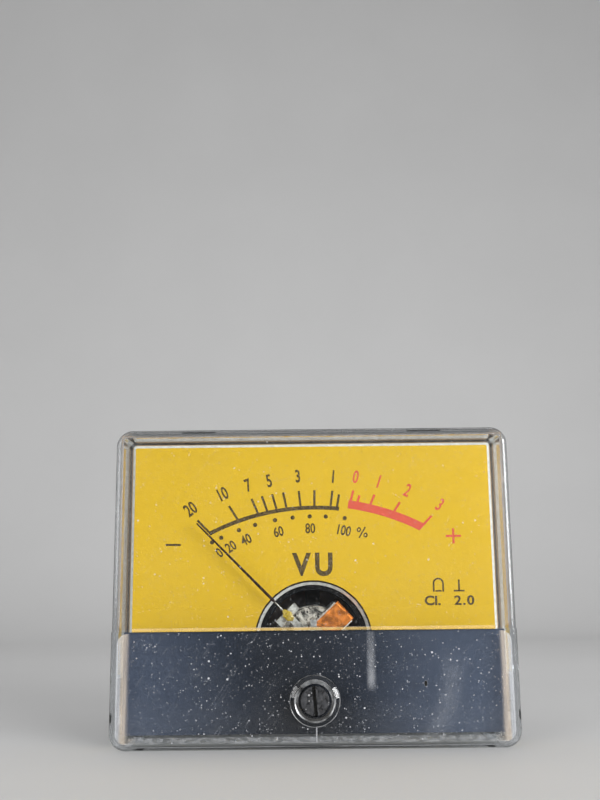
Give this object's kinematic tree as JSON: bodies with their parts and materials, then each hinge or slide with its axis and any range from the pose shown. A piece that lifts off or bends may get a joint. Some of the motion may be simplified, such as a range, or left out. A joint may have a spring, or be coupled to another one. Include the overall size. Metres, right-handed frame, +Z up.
{
  "type": "analog level meter",
  "caption": "Rectangular analog level meter: moving-coil movement and yellow dial under a clear moulded cover, with a round rear barrel, mounting studs and terminals.",
  "frame": {"origin": "on the axis of the round rear barrel, in the plane where the cover and base plate meet the panel", "axes": "+Y back into the panel along the barrel, +X to the right as seen from the front, +Z up; the dial faces -Y"},
  "size_m": [0.06, 0.0431, 0.047],
  "materials": {
    "clear_cover": "clear moulded plastic, lightly scratched",
    "dark_mask": "blue-black panel",
    "yellow_dial": "printed translucent yellow",
    "black_housing": "black moulding",
    "screw_steel": "zinc plated",
    "stud_steel": "threaded, zinc plated",
    "terminal_brass": "threaded brass",
    "tinned": "tinned",
    "adjuster_plastic": "black",
    "clip_steel": "spring steel",
    "lever_brass": "nickel plated",
    "frame_metal": "blackened",
    "bridge_metal": "plain",
    "pillar_plastic": "natural",
    "bearing_brass": "turned",
    "jewel": "synthetic stone",
    "magnet": "ground face",
    "former": "thin sheet",
    "copper": "enamelled copper wire",
    "staff_steel": "polished",
    "carrier_plastic": "white",
    "pointer_paint": "dark brown paint on thin metal",
    "spring_bronze": "phosphor bronze strip",
    "board_laminate": "phenolic laminate",
    "diode_black": "moulded",
    "resistor_body": "coated",
    "wire_cover": "insulated wire",
    "print_dark": "dark brown dial print",
    "print_red": "red dial print",
    "adhesive": "dried drop of glue"
  },
  "bodies": {
    "case": {"front_cover": "clear_cover", "lower_mask": "dark_mask", "dial_plate": "yellow_dial", "base_plate": "black_housing", "rear_barrel": "black_housing", "dial_screws": "screw_steel", "frame_screws": "screw_steel", "cover_screws": "screw_steel", "bridge_screws": "screw_steel", "clamp_screws": "screw_steel", "rear_bridge_screws": "screw_steel", "mounting_studs": "stud_steel", "terminal_studs": "terminal_brass", "terminal_nuts": "terminal_brass", "terminal_washers": "tinned", "solder_lugs": "tinned", "rear_spring_tag": "lever_brass", "movement_frame": "frame_metal", "yoke_ring": "frame_metal", "front_bridge": "bridge_metal", "rear_bridge": "bridge_metal", "core_clamp": "bridge_metal", "rear_bridge_pillars": "pillar_plastic", "front_jewel_screw": "bearing_brass", "rear_jewel_screw": "bearing_brass", "front_jewel": "jewel", "rear_jewel": "jewel", "core_magnet": "magnet", "rear_hairspring": "spring_bronze", "rectifier_board": "board_laminate", "rectifier_diodes": "diode_black", "series_resistor": "resistor_body", "lead_wires": "wire_cover"},
    "moving_coil": {"coil_former": "former", "coil_winding": "copper", "front_staff": "staff_steel", "rear_staff": "staff_steel", "pointer_carrier": "carrier_plastic", "pointer": "pointer_paint", "balance_weight": "bearing_brass"},
    "zero_screw": {"zero_screw": "adjuster_plastic", "zero_screw_clip": "clip_steel"},
    "zero_lever": {"zero_lever": "lever_brass", "front_hairspring": "spring_bronze"}
  },
  "joints": [
    {"name": "pointer_swing", "type": "hinge", "parent": "case", "child": "moving_coil", "pos_m": [0, 0, -0.0061], "axis": [0, 1, 0], "range_deg": [-4, 92], "stiffness_Nm_per_rad": 0.00002, "deforming": ["front_hairspring", "rear_hairspring"]},
    {"name": "zero_screw_turn", "type": "hinge", "parent": "case", "child": "zero_screw", "pos_m": [0, 0, -0.0142], "axis": [0, 1, 0], "range_deg": [-40, 40]},
    {"name": "zero_lever_turn", "type": "hinge", "parent": "case", "child": "zero_lever", "pos_m": [0, 0, -0.0061], "axis": [0, 1, 0], "range_deg": [-5.5, 5.5]}
  ],
  "couplings": [
    {"joint": "zero_lever_turn", "follows": "zero_screw_turn", "ratio": -0.132}
  ]
}
